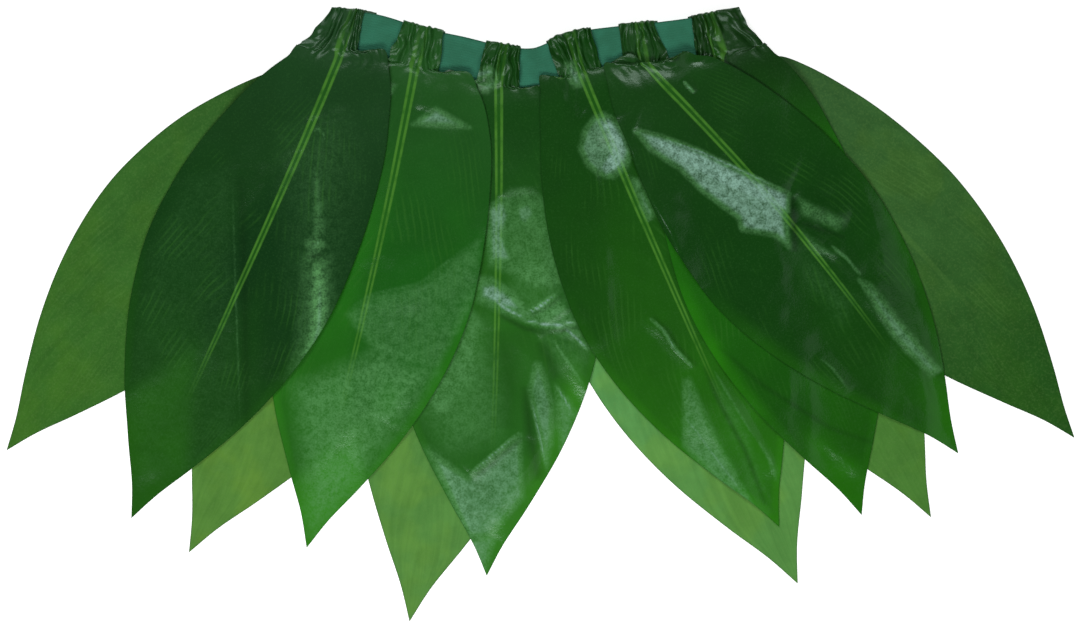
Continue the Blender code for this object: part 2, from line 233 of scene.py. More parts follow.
def off_line(plan, line):
    """Each point's distance from a line, its side of it (1 left, -1 right) and its share along it."""
    lengths = np.linalg.norm(np.diff(line, axis=0), axis=1)
    starts = np.concatenate([[0], np.cumsum(lengths)])
    nearest = np.full(plan.shape[:-1], np.inf)
    side, along = np.zeros_like(nearest), np.zeros_like(nearest)
    for start, end, length, before in zip(line[:-1], line[1:], lengths, starts):
        span = (end - start) / length
        run = np.clip((plan - start) @ span, 0, length)
        away = plan - start - run[..., None] * span
        distance = np.linalg.norm(away, axis=-1)
        lateral = span[0] * away[..., 1] - span[1] * away[..., 0]
        closer = distance < nearest
        side = np.where(closer, lateral / np.maximum(distance, 1e-9), side)
        along = np.where(closer, (before + run) / starts[-1], along)
        nearest = np.where(closer, distance, nearest)
    return nearest, side, along


# %% [markdown]
# ## Creases
# Real cloth of this kind is stiff: it holds flat facets that meet in soft ridges. A ridge is a line with
# a height and a width to fall away over on each side, so one side can be steep and catch the light while
# the other stays gentle. Heights and falls are in mm, to the left and to the right of the line. The last
# crease of each back leaf is a ridge for its under side. Broad folds of the solids lie below the creases,
# much weaker.

# %% Creases and folds
CREASE_SHARE = 0.6
Crease = namedtuple("Crease", "line height left right")
CREASES = {
    "front_leaf_1": (
        Crease(((233, 165), (237, 290), (241, 440)), 1.6, 20, 4),
        Crease(((322, 150), (322, 240), (316, 320), (296, 385)), 3.2, 16, 26),
        Crease(((298, 128), (352, 112)), 1.2, 6, 4),
        Crease(((268, 128), (258, 240), (225, 330)), 1.8, 14, 12),
        Crease(((165, 300), (150, 400), (140, 480)), 1.4, 8, 12),
    ),
    "front_leaf_2": (
        Crease(((345, 312), (420, 284), (505, 236)), 4.4, 26, 18),
        Crease(((413, 110), (466, 126)), 2.0, 5, 8),
        Crease(((378, 97), (398, 86)), 1.4, 5, 4),
        Crease(((352, 330), (330, 420), (318, 500)), 1.4, 12, 9),
        Crease(((455, 280), (430, 350), (380, 420)), 2.2, 20, 16),
    ),
    "front_leaf_3": (
        Crease(((487, 195), (492, 272), (486, 330)), 3.0, 20, 8),
        Crease(((498, 200), (545, 196)), 2.2, 8, 16),
        Crease(((500, 300), (545, 332)), 1.4, 5, 8),
        Crease(((538, 336), (582, 308)), 2.8, 5, 8),
        Crease(((543, 345), (602, 338)), 2.4, 5, 7),
        Crease(((560, 350), (606, 420)), 3.0, 12, 8),
        Crease(((500, 330), (540, 365), (530, 440)), 2.6, 10, 12),
        Crease(((470, 475), (520, 432)), 2.4, 12, 8),
        Crease(((545, 400), (520, 480), (498, 540)), 2.2, 9, 9),
    ),
    "front_leaf_4": (
        Crease(((583, 112), (622, 138), (634, 178)), 3.4, 8, 14),
        Crease(((634, 176), (655, 220)), 2.0, 6, 8),
        Crease(((644, 312), (694, 368)), 2.4, 6, 7),
        Crease(((680, 378), (718, 440), (764, 518)), 3.6, 10, 18),
        Crease(((712, 368), (732, 402), (776, 474)), 1.6, 5, 7),
        Crease(((600, 240), (610, 330), (650, 420)), 1.6, 14, 14),
    ),
    "front_leaf_5": (
        Crease(((634, 130), (700, 152), (788, 192)), 5.0, 34, 18),
        Crease(((787, 196), (790, 252)), 1.8, 9, 4),
        Crease(((795, 196), (848, 220)), 2.6, 9, 9),
        Crease(((795, 226), (838, 256)), 2.2, 8, 8),
        Crease(((828, 243), (862, 278)), 2.2, 8, 7),
        Crease(((858, 278), (902, 326), (940, 372)), 2.6, 14, 9),
        Crease(((617, 118), (632, 150), (645, 190), (672, 235), (692, 292)), 5.0, 16, 3),
        Crease(((817, 355), (850, 392)), 2.0, 8, 7),
        Crease(((683, 80), (695, 93)), 1.2, 4, 4),
    ),
    "front_leaf_6": (
        Crease(((700, 330), (770, 420), (830, 480)), 1.0, 18, 14),
    ),
    "back_leaf_1": (
        Crease(((112, 226), (130, 238)), 0.9, 5, 4),
        Crease(((107, 327), (130, 300)), 0.9, 6, 4),
        Crease(((230, 110), (120, 250), (50, 380)), 0.8, 16, 14),
        Crease(((122, 240), (176, 170), (226, 132)), 1.6, 14, 7),
    ),
    "back_leaf_6": (
        Crease(((830, 120), (921, 270), (990, 338)), 0.9, 16, 14),
        Crease(((810, 122), (884, 168), (948, 256)), 1.6, 8, 14),
    ),
    "back_leaf_5": (
        Crease(((912, 452), (926, 462)), 0.8, 4, 4),
        Crease(((776, 224), (832, 256), (872, 334)), 1.4, 7, 12),
    ),
    "back_leaf_2": (
        Crease(((262, 400), (225, 500)), 0.8, 12, 10),
        Crease(((240, 390), (262, 340), (298, 304)), 1.4, 12, 7),
    ),
    "back_leaf_3": (
        Crease(((395, 470), (410, 570)), 0.8, 12, 10),
        Crease(((400, 380), (434, 306), (464, 266)), 1.6, 14, 8),
    ),
    "back_leaf_4": (
        Crease(((640, 430), (720, 500), (780, 560)), 0.9, 14, 12),
        Crease(((616, 254), (668, 272), (716, 346)), 1.6, 8, 14),
    ),
}
FOLD_SHARE = 0.25
Fold = namedtuple("Fold", "start end height half_width")
FOLDS = {
    "front_leaf_1": (
        Fold((0.45, 0.16), (0.50, 0.72), 0.0050, 0.26), Fold((-0.45, 0.22), (-0.10, 0.85), 0.0035, 0.24),
    ),
    "front_leaf_2": (
        Fold((0.35, 0.10), (0.45, 0.55), 0.0040, 0.28), Fold((-0.20, 0.45), (0.15, 0.92), 0.0045, 0.40),
    ),
    "front_leaf_3": (
        Fold((0.35, 0.18), (0.20, 0.62), 0.0060, 0.24), Fold((-0.25, 0.55), (0.25, 0.92), 0.0050, 0.30),
    ),
    "front_leaf_4": (
        Fold((0.35, 0.10), (0.10, 0.50), 0.0050, 0.26), Fold((-0.10, 0.55), (0.10, 0.95), 0.0045, 0.30),
    ),
    "front_leaf_5": (
        Fold((-0.55, 0.16), (0.20, 0.52), 0.0055, 0.26), Fold((0.45, 0.50), (0.20, 0.92), 0.0045, 0.28),
    ),
    "front_leaf_6": (Fold((-0.50, 0.50), (-0.10, 0.92), 0.0030, 0.30),),
}


def crease_relief(name, plan):
    """Heights of the creases: a straight fall on each side of the line, rounded at its ridge and foot."""
    relief = np.zeros(plan.shape[:-1])
    for crease in CREASES[name]:
        distance, side, along = off_line(plan, places(crease.line))
        fall = 0.001 * (crease.right + (crease.left - crease.right) * ease(0.5 + 0.5 * side))
        reach = np.sqrt((distance / fall) ** 2 + 0.0036) - 0.06
        tent = 0.5 * (1 - reach + np.sqrt((1 - reach) ** 2 + 0.02))
        relief += CREASE_SHARE * 0.001 * crease.height * tent * (4 * along * (1 - along)) ** 0.5
    return relief


def fold_relief(leaf, side, share):
    """The solid's own soft folds: a rounded ridge along each line, fading out at both ends."""
    relief = np.zeros((len(share), len(side)))
    for fold in FOLDS[leaf.name]:
        (side_0, share_0), (side_1, share_1) = fold.start, fold.end
        run = np.clip((share - share_0) / (share_1 - share_0), 0, 1)[:, None]
        off = (side[None, :] - side_0 - (side_1 - side_0) * run) / fold.half_width
        relief += fold.height * np.sin(np.pi * run) * np.exp(-(off**2))
    return relief


print("creases:", sum(map(len, CREASES.values())), "folds:", sum(map(len, FOLDS.values())))

# %% [markdown]
# ## Gathers
# Each leaf's top is a casing, folded over the elastic and drawn up along it, so the cloth crumples into
# ridges that wander, merge and die out in the leaf's shoulders. One field of ridges covers casing and
# blade alike. Its lines start at uneven places across the cloth and bend with a slow noise, so no two
# gathers look the same.

# %% The field of gathers
GATHER_RIDGES = 2.6
GATHER_HEIGHT = 0.0023
GATHER_FADE = 0.013


def gathers(seed, side, down):
    """Height of the gathers at each side and distance below the seam: uneven lobes that die out below."""
    wander = 0.75 * noise(seed, side * 1.9 + 9, down / 0.009 + 30)
    bent = wander + 0.5 * noise(seed + 1, side * 3 + 9, down * 0 + 3)
    lobe = 0.5 + 0.5 * np.cos(2 * np.pi * (GATHER_RIDGES * side + bent))
    lobe = lobe * (0.60 + 0.40 * noise(seed + 2, side * 4 + 9, down / 0.007 + 30))
    crumple = 0.5 * noise(seed + 3, side * 4 + 9, down / 0.006 + 30) * np.exp(-np.maximum(down, 0) / 0.007)
    length = GATHER_FADE * (0.9 + 0.6 * noise(seed + 4, side * 2.7 + 20, down * 0 + 5))
    fade = np.exp(-np.maximum(down, 0) / length) * (1 - ease(down / 0.05)) * (1 - 0.5 * ease(down / 0.018))
    return GATHER_HEIGHT * np.maximum(lobe + crumple + 0.15, 0) * fade


sample = gathers(300, np.linspace(-1, 1, 99), np.zeros(99))
print("highest gather in mm:", round(1000 * float(sample.max()), 2))

# %% [markdown]
# ## Laying the leaves down
# The leaves are laid in the order that they lie in the photograph, each on a height map of what is
# already there. The cloth is stiff, so where it is lifted by an edge below, it tents over it: the lift is
# blurred, and raised again to what is needed, several times over. A second map counts the sheets below,
# because light from the pale floor comes up through one sheet and hardly at all through three. It is
# softened for the front leaves, as light spreads between the sheets.

# %% Maps of what lies below
MAP_CELL = 0.001
MAP_HALF = np.array([0.22, 0.36])
TENTING = 70
SOFTENING = 40
MAP_SHAPE = tuple(np.rint(2 * MAP_HALF / MAP_CELL).astype(int) + 1)
heights = np.full(MAP_SHAPE, -LAY_GAP)
layers = np.zeros(MAP_SHAPE)


def cells(plan):
    """Row and column of the maps for each point."""
    return tuple(np.rint((plan[..., 1 - axis] + MAP_HALF[axis]) / MAP_CELL).astype(int) for axis in (0, 1))


def finer(grid, times):
    """The same grid with each cell divided evenly, by straight lines between neighbours."""
    for _ in range(2):
        at = np.linspace(0, len(grid) - 1, (len(grid) - 1) * times + 1)
        low = np.minimum(at.astype(int), len(grid) - 2)
        part = (at - low)[:, None, None]
        grid = (grid[low] * (1 - part) + grid[low + 1] * part).swapaxes(0, 1)
    return grid


def neighbours(field):
    """The mean of the four neighbours of every entry."""
    wide = np.pad(field, 1, mode="edge")
    return (wide[:-2, 1:-1] + wide[2:, 1:-1] + wide[1:-1, :-2] + wide[1:-1, 2:]) / 4


def widest(field, times):
    """Each entry raised to the highest of its neighbours, as many times as asked."""
    rows, columns = field.shape
    for _ in range(times):
        wide = np.pad(field, 1, mode="edge")
        field = np.max([wide[r : r + rows, c : c + columns] for r in range(3) for c in range(3)], axis=0)
    return field


def soften(field):
    """A map blurred over about 5 mm: each cell becomes the mean of its neighbours, many times over."""
    for _ in range(SOFTENING):
        field = neighbours(field)
    return field


def lay_down(points, ground):
    """Lifts a sheet clear of the ground, tenting smoothly from each lifted place. Its top row stays."""
    need = np.maximum(widest(ground, 2)[cells(points)] + LAY_GAP - points[..., 2], 0)
    need[0] = 0
    lift = need
    for _ in range(TENTING):
        lift = np.maximum(need, neighbours(lift))
        lift[0] = 0
    points[..., 2] += lift
    return points


def mark(points, thickness, height_map):
    """Draws a sheet's top on a height map."""
    fine = finer(points, 3)
    np.maximum.at(height_map, cells(fine), fine[..., 2] + thickness)


def count_sheet(blade):
    """Adds a blade to the count of layers."""
    covered = np.zeros(MAP_SHAPE)
    covered[cells(finer(blade, 3))] = 1
    np.add(layers, covered, out=layers)


print("cells of the maps:", MAP_SHAPE)

# %% [markdown]
# ## Where highlights and shade are painted
# The satin's sheen is painted into its colour: painted highlights in patches with soft or crisp edges and in
# thin strokes along the ridges. Patches softer than VEIL_SOFTNESS make a thin painted veil of sheen. Strokes
# of negative strength are painted shade, dark lines beside a ridge. Softness and width are in points of the
# view.

# %% Painted highlights and painted shade: soft patches and strokes
VEIL_SOFTNESS = 7
LEAST_SOFTNESS = 5.5
LEAST_WIDTH = 3.2
Patch = namedtuple("Patch", "outline softness strength")
PATCHES = {
    "front_leaf_1": (
        Patch(((314, 172), (319, 172), (327, 236), (312, 238)), 4, 0.35),
        Patch(((305, 241), (318, 236), (326, 244), (321, 252), (310, 262)), 2.5, 0.5),
        Patch((
            (308, 262), (326, 259), (327, 300), (324, 345), (310, 366), (296, 380), (303, 350), (307, 300),
        ), 14, 0.62),
        Patch(((290, 140), (340, 120), (352, 160), (335, 300), (300, 300)), 24, 0.14),
        Patch(((150, 250), (190, 180), (231, 165), (239, 440), (205, 470), (140, 480), (130, 380)), 8, 0.06),
    ),
    "front_leaf_2": (
        Patch(((412, 125), (436, 108), (470, 128)), 1.5, 0.72),
        Patch(((381, 97), (383, 86), (397, 86), (388, 96)), 1.5, 0.6),
        Patch(((342, 314), (370, 295), (420, 284), (484, 234), (478, 300), (440, 370), (372, 352)), 5, 0.34),
        Patch(((296, 388), (380, 352), (432, 372), (392, 430), (350, 490), (312, 530)), 12, 0.6),
    ),
    "front_leaf_3": (
        Patch(((461, 81), (470, 70), (490, 68), (497, 75), (480, 80), (470, 86)), 1.3, 0.8),
        Patch(((476, 92), (480, 86), (497, 78), (498, 84), (488, 93)), 1.3, 0.7),
        Patch((
            (485, 212), (499, 198), (511, 187), (530, 187), (545, 198), (553, 240), (563, 285), (538, 290),
            (512, 276), (487, 268),
        ), 6, 0.4),
        Patch(((487, 208), (503, 196), (511, 215), (504, 235), (514, 262), (489, 262)), 4, 0.7),
        Patch(((514, 206), (530, 200), (538, 214), (526, 228), (516, 222)), 5, 0.62),
        Patch((
            (478, 276), (492, 276), (512, 290), (528, 307), (560, 298), (588, 349), (556, 334), (527, 322),
            (502, 314), (476, 303),
        ), 4, 0.5),
        Patch(((480, 284), (494, 282), (512, 296), (524, 312), (504, 309), (480, 298)), 5, 0.8),
        Patch(((528, 390), (535, 362), (541, 364), (553, 402), (553, 442), (547, 470), (539, 436)), 4, 0.62),
        Patch(((555, 384), (572, 402), (578, 414), (570, 440), (560, 452), (556, 420)), 4, 0.55),
        Patch(((424, 448), (440, 452), (470, 515), (477, 545), (464, 540)), 8, 0.3),
        Patch(((536, 322), (556, 335), (588, 352), (578, 380), (560, 372)), 8, 0.22),
        Patch(((428, 450), (468, 477), (521, 434), (524, 498), (490, 538), (468, 538)), 4, 0.62),
        Patch(((440, 330), (482, 322), (500, 400), (496, 436), (450, 450), (420, 400)), 14, 0.34),
        Patch(((464, 540), (497, 534), (490, 560), (484, 580), (474, 560)), 5, 0.58),
        Patch(((518, 268), (545, 262), (572, 310), (585, 340), (540, 318), (505, 300)), 8, 0.25),
        Patch(((452, 330), (470, 300), (484, 320), (476, 380), (440, 420), (424, 400)), 6, 0.3),
    ),
    "front_leaf_4": (
        Patch((
            (584, 130), (594, 117), (604, 113), (618, 121), (628, 136), (632, 152), (627, 168), (614, 178),
            (598, 175), (586, 164), (579, 148),
        ), 2, 0.66),
        Patch((
            (596, 120), (610, 117), (624, 136), (629, 151), (622, 168), (606, 177), (598, 168), (610, 148),
        ), 5, 0.95),
        Patch(((632, 178), (640, 180), (655, 214), (648, 220), (641, 206)), 1.6, 0.7),
        Patch(((683, 380), (690, 377), (718, 439), (761, 517), (740, 508), (683, 447)), 4, 0.54),
        Patch(((565, 64), (572, 62), (580, 74), (582, 86), (574, 88), (567, 76)), 1.5, 0.7),
        Patch(((770, 492), (758, 450), (735, 400), (712, 372), (706, 380), (724, 430), (750, 500)), 6, 0.22),
    ),
    "front_leaf_5": (
        Patch((
            (635, 132), (660, 140), (700, 155), (745, 178), (786, 196), (785, 215), (789, 248), (775, 236),
            (741, 230), (738, 218), (720, 205), (700, 190), (680, 170), (650, 150),
        ), 1.6, 0.8),
        Patch((
            (635, 131), (660, 137), (700, 152), (745, 175), (788, 194), (787, 212), (760, 204), (722, 188),
            (690, 170), (655, 148),
        ), 6, 1.0),
        Patch(((795, 195), (846, 220), (838, 232), (800, 215)), 5, 0.42),
        Patch(((795, 225), (836, 256), (815, 254)), 4, 0.4),
        Patch(((788, 232), (812, 262), (850, 300), (842, 320), (806, 280)), 10, 0.12),
        Patch(((858, 279), (872, 285), (904, 325), (941, 370), (930, 376), (892, 336)), 4, 0.62),
    ),
    "back_leaf_1": (
        Patch(((118, 238), (180, 160), (232, 128), (222, 190), (176, 246), (128, 290)), 16, 0.42),
    ),
    "back_leaf_2": (
        Patch(((236, 392), (268, 330), (300, 300), (296, 380), (262, 452), (240, 470)), 16, 0.42),
    ),
    "back_leaf_3": (
        Patch(((396, 380), (430, 300), (462, 262), (474, 340), (446, 420), (410, 470)), 16, 0.42),
    ),
    "back_leaf_4": (
        Patch(((610, 250), (660, 262), (712, 340), (744, 430), (706, 420), (640, 340)), 16, 0.42),
    ),
    "back_leaf_5": (
        Patch(((770, 220), (830, 250), (872, 330), (890, 410), (850, 390), (800, 300)), 16, 0.42),
    ),
    "back_leaf_6": (
        Patch(((806, 120), (880, 160), (950, 250), (980, 330), (930, 300), (860, 210)), 16, 0.42),
    ),
}
Stroke = namedtuple("Stroke", "line width strength")
STROKES = {
    "front_leaf_1": (
        Stroke(((318, 262), (320, 290), (319, 326), (312, 354), (297, 378)), 13, 0.62),
        Stroke(((308, 248), (316, 243), (323, 240)), 1.6, 0.7),
        Stroke(((311, 133), (318, 128), (325, 136), (322, 144)), 1.2, 0.4),
        Stroke(((232, 175), (236, 300), (240, 430)), 1.6, 0.3),
        Stroke(((307, 257), (322, 255)), 2.0, -0.7),
        Stroke(((241, 175), (245, 300), (246, 425)), 7, -0.35),
    ),
    "front_leaf_2": (
        Stroke(((342, 314), (370, 295), (420, 284), (484, 234)), 5, 0.34),
        Stroke(((383, 78), (381, 120), (377, 165)), 6, -0.8),
    ),
    "front_leaf_3": (
        Stroke(((526, 314), (540, 306), (556, 294)), 3.4, 1.0),
        Stroke(((522, 320), (552, 326), (578, 321)), 3.4, 1.0),
        Stroke(((562, 326), (576, 338), (589, 350)), 3.6, 1.0),
        Stroke(((483, 288), (504, 308), (528, 320)), 4.0, 1.0),
        Stroke(((470, 474), (496, 452), (520, 432)), 3.4, 0.85),
        Stroke(((530, 393), (538, 430), (547, 470)), 3.0, 0.8),
        Stroke(((556, 386), (564, 398), (573, 414)), 3.2, 0.9),
        Stroke(((552, 338), (568, 362), (586, 388)), 2.8, 0.5),
        Stroke(((482, 110), (480, 170), (476, 240)), 5, -0.4),
        Stroke(((498, 314), (524, 328), (548, 334)), 4.0, -0.6),
        Stroke(((530, 316), (552, 304), (562, 296)), 3.0, -0.6),
        Stroke(((534, 331), (560, 331), (582, 327)), 3.0, -0.6),
        Stroke(((524, 385), (530, 430), (538, 480)), 9, -0.6),
        Stroke(((472, 481), (498, 458), (523, 438)), 4.0, -0.5),
        Stroke(((500, 330), (508, 380), (506, 430)), 22, -0.3),
        Stroke(((556, 380), (550, 358), (540, 342)), 8, -0.4),
    ),
    "front_leaf_4": (
        Stroke(((649, 317), (664, 331), (676, 350), (693, 367)), 2.6, 0.75),
        Stroke(((684, 385), (688, 420), (716, 458), (756, 510)), 6, 0.7),
        Stroke(((714, 370), (730, 398), (752, 434)), 3.4, 0.42),
        Stroke(((758, 440), (770, 460), (777, 482)), 4.5, 0.45),
        Stroke(((704, 366), (718, 400), (746, 452), (766, 506)), 4, -0.5),
        Stroke(((619, 100), (630, 142), (646, 184), (671, 232), (688, 276), (706, 325)), 5.5, -1.0),
        Stroke(((653, 316), (668, 331), (681, 350), (697, 366)), 2.6, -0.4),
    ),
    "front_leaf_5": (
        Stroke(((640, 132), (700, 152), (784, 191)), 3.4, 0.9),
        Stroke(((683, 82), (694, 94)), 2.2, 0.7),
        Stroke(((830, 245), (846, 258), (861, 276)), 3.4, 0.6),
        Stroke(((818, 356), (834, 370), (849, 391)), 2.6, 0.4),
        Stroke(((792, 196), (795, 252)), 5, -0.9),
        Stroke(((798, 222), (846, 238)), 4, -0.5),
    ),
    "front_leaf_6": (
        Stroke(((717, 345), (762, 385), (830, 428), (888, 448)), 4, -0.35),
    ),
}
# On the under side of a back leaf, a painted glint runs along its last crease. Width and strength of each.
GLINTS = {
    "back_leaf_1": (5, 0.8), "back_leaf_2": (4, 0.8), "back_leaf_3": (5, 0.7),
    "back_leaf_4": (5, 0.8), "back_leaf_5": (4, 0.7), "back_leaf_6": (5, 0.8),
}
for name, (width, strength) in GLINTS.items():
    STROKES[name] = (Stroke(CREASES[name][-1].line, width, strength),)


def inside_of(plan, outline):
    """Whether each point lies inside a closed outline: it crosses an odd number of edges on its way out."""
    inside = np.zeros(plan.shape[:-1], bool)
    for start, end in zip(outline[:-1], outline[1:]):
        spans = (start[1] > plan[..., 1]) != (end[1] > plan[..., 1])
        slope = (end[0] - start[0]) / np.where(end[1] == start[1], 1e-9, end[1] - start[1])
        inside ^= spans & (plan[..., 0] < start[0] + slope * (plan[..., 1] - start[1]))
    return inside


def patch_strength(name, plan, broad):
    """How much painted sheen a patch lays at each point: its strength inside, falling to 0 outside over its
    softness.
    """
    total = np.zeros(plan.shape[:-1])
    for patch in PATCHES.get(name, ()):
        if broad != (patch.softness > VEIL_SOFTNESS):
            continue
        outline = places(patch.outline + patch.outline[:1])
        distance, _, _ = off_line(plan, outline)
        signed = np.where(inside_of(plan, outline), distance, -distance)
        signed = signed / (max(patch.softness, LEAST_SOFTNESS) * VIEW_STEP)
        total = np.maximum(total, patch.strength * np.clip(0.5 + 0.5 * signed, 0, 1))
    return total


def stroke_strength(name, plan, sign):
    """The strength of the painted highlight strokes, or of the painted shade strokes where the sign is -1.
    """
    total = np.zeros(plan.shape[:-1])
    for stroke in STROKES[name]:
        if stroke.strength * sign < 0:
            continue
        distance, _, along = off_line(plan, places(stroke.line))
        ends = (4 * along * (1 - along)) ** 0.3
        width = max(stroke.width, LEAST_WIDTH) * VIEW_STEP
        total = np.maximum(total, sign * stroke.strength * np.clip(1 - distance / width, 0, 1) * ends)
    return total


print("patches:", sum(map(len, PATCHES.values())), "strokes:", sum(map(len, STROKES.values())))

# %% [markdown]
# ## From a grid of points to cloth
# A sheet is a grid: rows from the hem over the casing to the tip, and columns from edge to edge. It
# becomes a closed thin shell, with the printed face on one side and the pale face on the other. The print
# is laid out from attributes that travel with the mesh, so it follows the cloth however it is folded.

# %% Make a shell
SHARP_ANGLE = 1.2


def normals_of(points):
    """Unit normals of a grid: the step down the rows crossed with the step along the columns."""
    normals = np.cross(np.gradient(points, axis=0), np.gradient(points, axis=1))
    normals[-1] = normals[-2]
    return unit(normals + 1e-15)


def shell_faces(index, under):
    """Faces of the upper grid, of the grid below it turned round, and of the rim that joins them."""
    def grid_faces(i):
        return np.stack([i[:-1, :-1], i[1:, :-1], i[1:, 1:], i[:-1, 1:]], axis=-1).reshape(-1, 4)

    loop = np.concatenate([index[:, 0], index[::-1, -1][1:], index[0, ::-1][1:]])
    below = loop + (under[0, 0] - index[0, 0])
    rim = np.stack([loop[1:], loop[:-1], below[:-1], below[1:]], axis=-1)
    return grid_faces(index), grid_faces(under)[:, ::-1], rim


def polygons(groups):
    """Corners of every face, without repeats, and its slot: 1 for the grid below, 0 for the rest."""
    faces, slots = [], []
    for slot, group in zip((0, 1, 0), groups):
        for quad in group.tolist():
            corners = list(dict.fromkeys(quad))
            if len(corners) > 2:
                faces.append(corners)
                slots.append(slot)
    return faces, slots


def add_object(name, data):
    made = bpy.data.objects.new(name, data)
    bpy.context.scene.collection.objects.link(made)
    return made


def cloth_object(name, points, attributes, finishes, printed_above):
    """A closed shell on a grid that ends in one point. The grid is its lower side if the print is above."""
    rows, columns = points.shape[:2]
    wall = normals_of(points) * CLOTH
    upper, lower = (points + wall, points) if printed_above else (points, points - wall)
    index = np.arange(rows * columns).reshape(rows, columns)
    index[-1] = index[-1, 0]
    under = index + rows * columns
    faces, slots = polygons(shell_faces(index, under))
    used = np.unique(np.concatenate([index.ravel(), under.ravel()]))
    renumber = np.zeros(2 * rows * columns, int)
    renumber[used] = np.arange(len(used))
    renumber = renumber.tolist()
    vertices = np.concatenate([upper.reshape(-1, 3), lower.reshape(-1, 3)])[used]
    mesh = bpy.data.meshes.new(name)
    mesh.from_pydata(vertices.tolist(), [], [[renumber[corner] for corner in face] for face in faces])
    mesh.polygons.foreach_set("material_index", slots)
    for key, values in attributes.items():
        kind, field = ("FLOAT_COLOR", "color") if values.ndim == 3 else ("FLOAT", "value")
        flat = values.reshape(rows * columns, -1)
        both = np.concatenate([flat, flat])[used]
        mesh.attributes.new(key, kind, "POINT").data.foreach_set(field, both.astype(np.float32).ravel())
    for finish in finishes:
        mesh.materials.append(finish)
    mesh.shade_smooth()
    mesh.set_sharp_from_angle(angle=SHARP_ANGLE)
    mesh.update()
    return add_object(name, mesh)


# %% [markdown]
# ## Materials by expression
# A small class wraps a node's output so that +, - and * on it add Math nodes. Every other node comes from
# one method, which takes its type, its settings and the values of its sockets. Colours are given as they
# are seen on a screen and divided by LIGHT, the light that falls on the skirt.

# %% A finish and its wires
LIGHT = 1.35


class Wire:
    """A number or colour that varies over a surface."""

    def __init__(self, finish, socket):
        self.finish, self.socket = finish, socket

    def __add__(self, other):
        return self.finish.math("ADD", self, other)

    def __sub__(self, other):
        return self.finish.math("SUBTRACT", self, other)

    def __rsub__(self, other):
        return self.finish.math("SUBTRACT", other, self)

    def __mul__(self, other):
        return self.finish.math("MULTIPLY", self, other)

    __radd__ = __add__
    __rmul__ = __mul__


class Finish:
    """A material under construction."""

    def __init__(self, name):
        self.material = bpy.data.materials.new(name)
        self.material.use_nodes = True
        self.tree = self.material.node_tree
        self.shader = self.tree.nodes["Principled BSDF"]

    def node(self, kind, settings=None, inputs=None, output=0):
        made = self.tree.nodes.new(kind)
        for key, value in (settings or {}).items():
            setattr(made, key, value)
        for key, value in (inputs or {}).items():
            self.plug(made.inputs[key], value)
        return Wire(self, made.outputs[output])

    def plug(self, socket, value):
        if isinstance(value, Wire):
            self.tree.links.new(value.socket, socket)
        else:
            socket.default_value = value

    def math(self, operation, a, b=0.0):
        return self.node("ShaderNodeMath", {"operation": operation}, {0: a, 1: b})

    def attribute(self, name, output="Fac"):
        return self.node("ShaderNodeAttribute", {"attribute_name": name}, output=output)

    def step(self, value, low, high):
        """0 below low, 1 above high, smooth between."""
        inputs = {"Value": value, "From Min": low, "From Max": high}
        return self.node("ShaderNodeMapRange", {"interpolation_type": "SMOOTHSTEP"}, inputs)

    def speckle(self, size, detail=2.0, roughness=0.5):
        """Noise around 0.5 with grains of this size in metres."""
        place = self.node("ShaderNodeTexCoord", output="Object")
        inputs = {"Vector": place, "Scale": 1 / size, "Detail": detail, "Roughness": roughness}
        return self.node("ShaderNodeTexNoise", {}, inputs, output="Fac")
    def mottle(self, size, detail, low, high, roughness=0.5):
        """Spots of speckle: 0 where it is below low, 1 where it is above high."""
        return self.step(self.speckle(size, detail, roughness), low, high)

    def blend(self, factor, a, b, kind="MIX"):
        settings = {"data_type": "RGBA", "blend_type": kind}
        return self.node("ShaderNodeMix", settings, {0: factor, 6: a, 7: b}, output=2)

    def times(self, colour, red, green, blue):
        """A colour with each of its channels multiplied."""
        return self.blend(1.0, colour, (red, green, blue, 1.0), "MULTIPLY")

    def bump(self, height, distance, strength, under=None):
        inputs = {"Strength": strength, "Distance": distance, "Height": height}
        if under:
            inputs["Normal"] = under
        return self.node("ShaderNodeBump", {}, inputs, output="Normal")

    def set(self, **values):
        for key, value in values.items():
            self.plug(self.shader.inputs[key.replace("_", " ")], value)


def paint(red, green, blue):
    """A linear colour from how it is seen on a screen, 0 to 255, divided by the light that falls on it."""
    seen = np.array([red, green, blue]) / 255
    linear = np.where(seen <= 0.04045, seen / 12.92, ((seen + 0.055) / 1.055) ** 2.4)
    return (*(linear / LIGHT).tolist(), 1.0)


# %% [markdown]
# ## Leaf cloth
# The printed face is a dark satin film with a bright double midrib and fine veins that leave it at a
# slant and bend towards the tip. The pale face shows the same leaf faintly from behind. Both are painted
# lighter where little cloth lies behind them, as painted light that comes up from the floor; the printed
# face also carries painted sheen and painted shade lines.

# %% Leaf finishes
def vein_lines(finish, side, share, across, down, bend, sharpness):
    """Lines where down shares of the length, less across s and bend s squared, come near a whole number."""
    wander = (finish.speckle(0.045, 2) - 0.5) * 2.2
    phase = share * down - side * across - side * side * bend + wander
    fraction = finish.math("FRACT", phase)
    ridge = finish.math("ABSOLUTE", fraction - 0.5) * 2
    clear = finish.step(side, 0.03, 0.12) * (1 - finish.step(side, 0.80, 0.97))
    clear = clear * (1 - finish.step(share, 0.70, 0.92))
    return finish.step(ridge, sharpness, 1.0) * clear * finish.mottle(0.034, 3, 0.45, 0.66)


def veins(finish, side, share):
    """The strong veins, and finer ones between them."""
    strong = vein_lines(finish, side, share, 11, 23, 3, 0.50)
    fine = vein_lines(finish, side, share, 27, 55, 7, 0.35)
    return (strong + fine * 0.15) * finish.step(share, 0.05, 0.22)


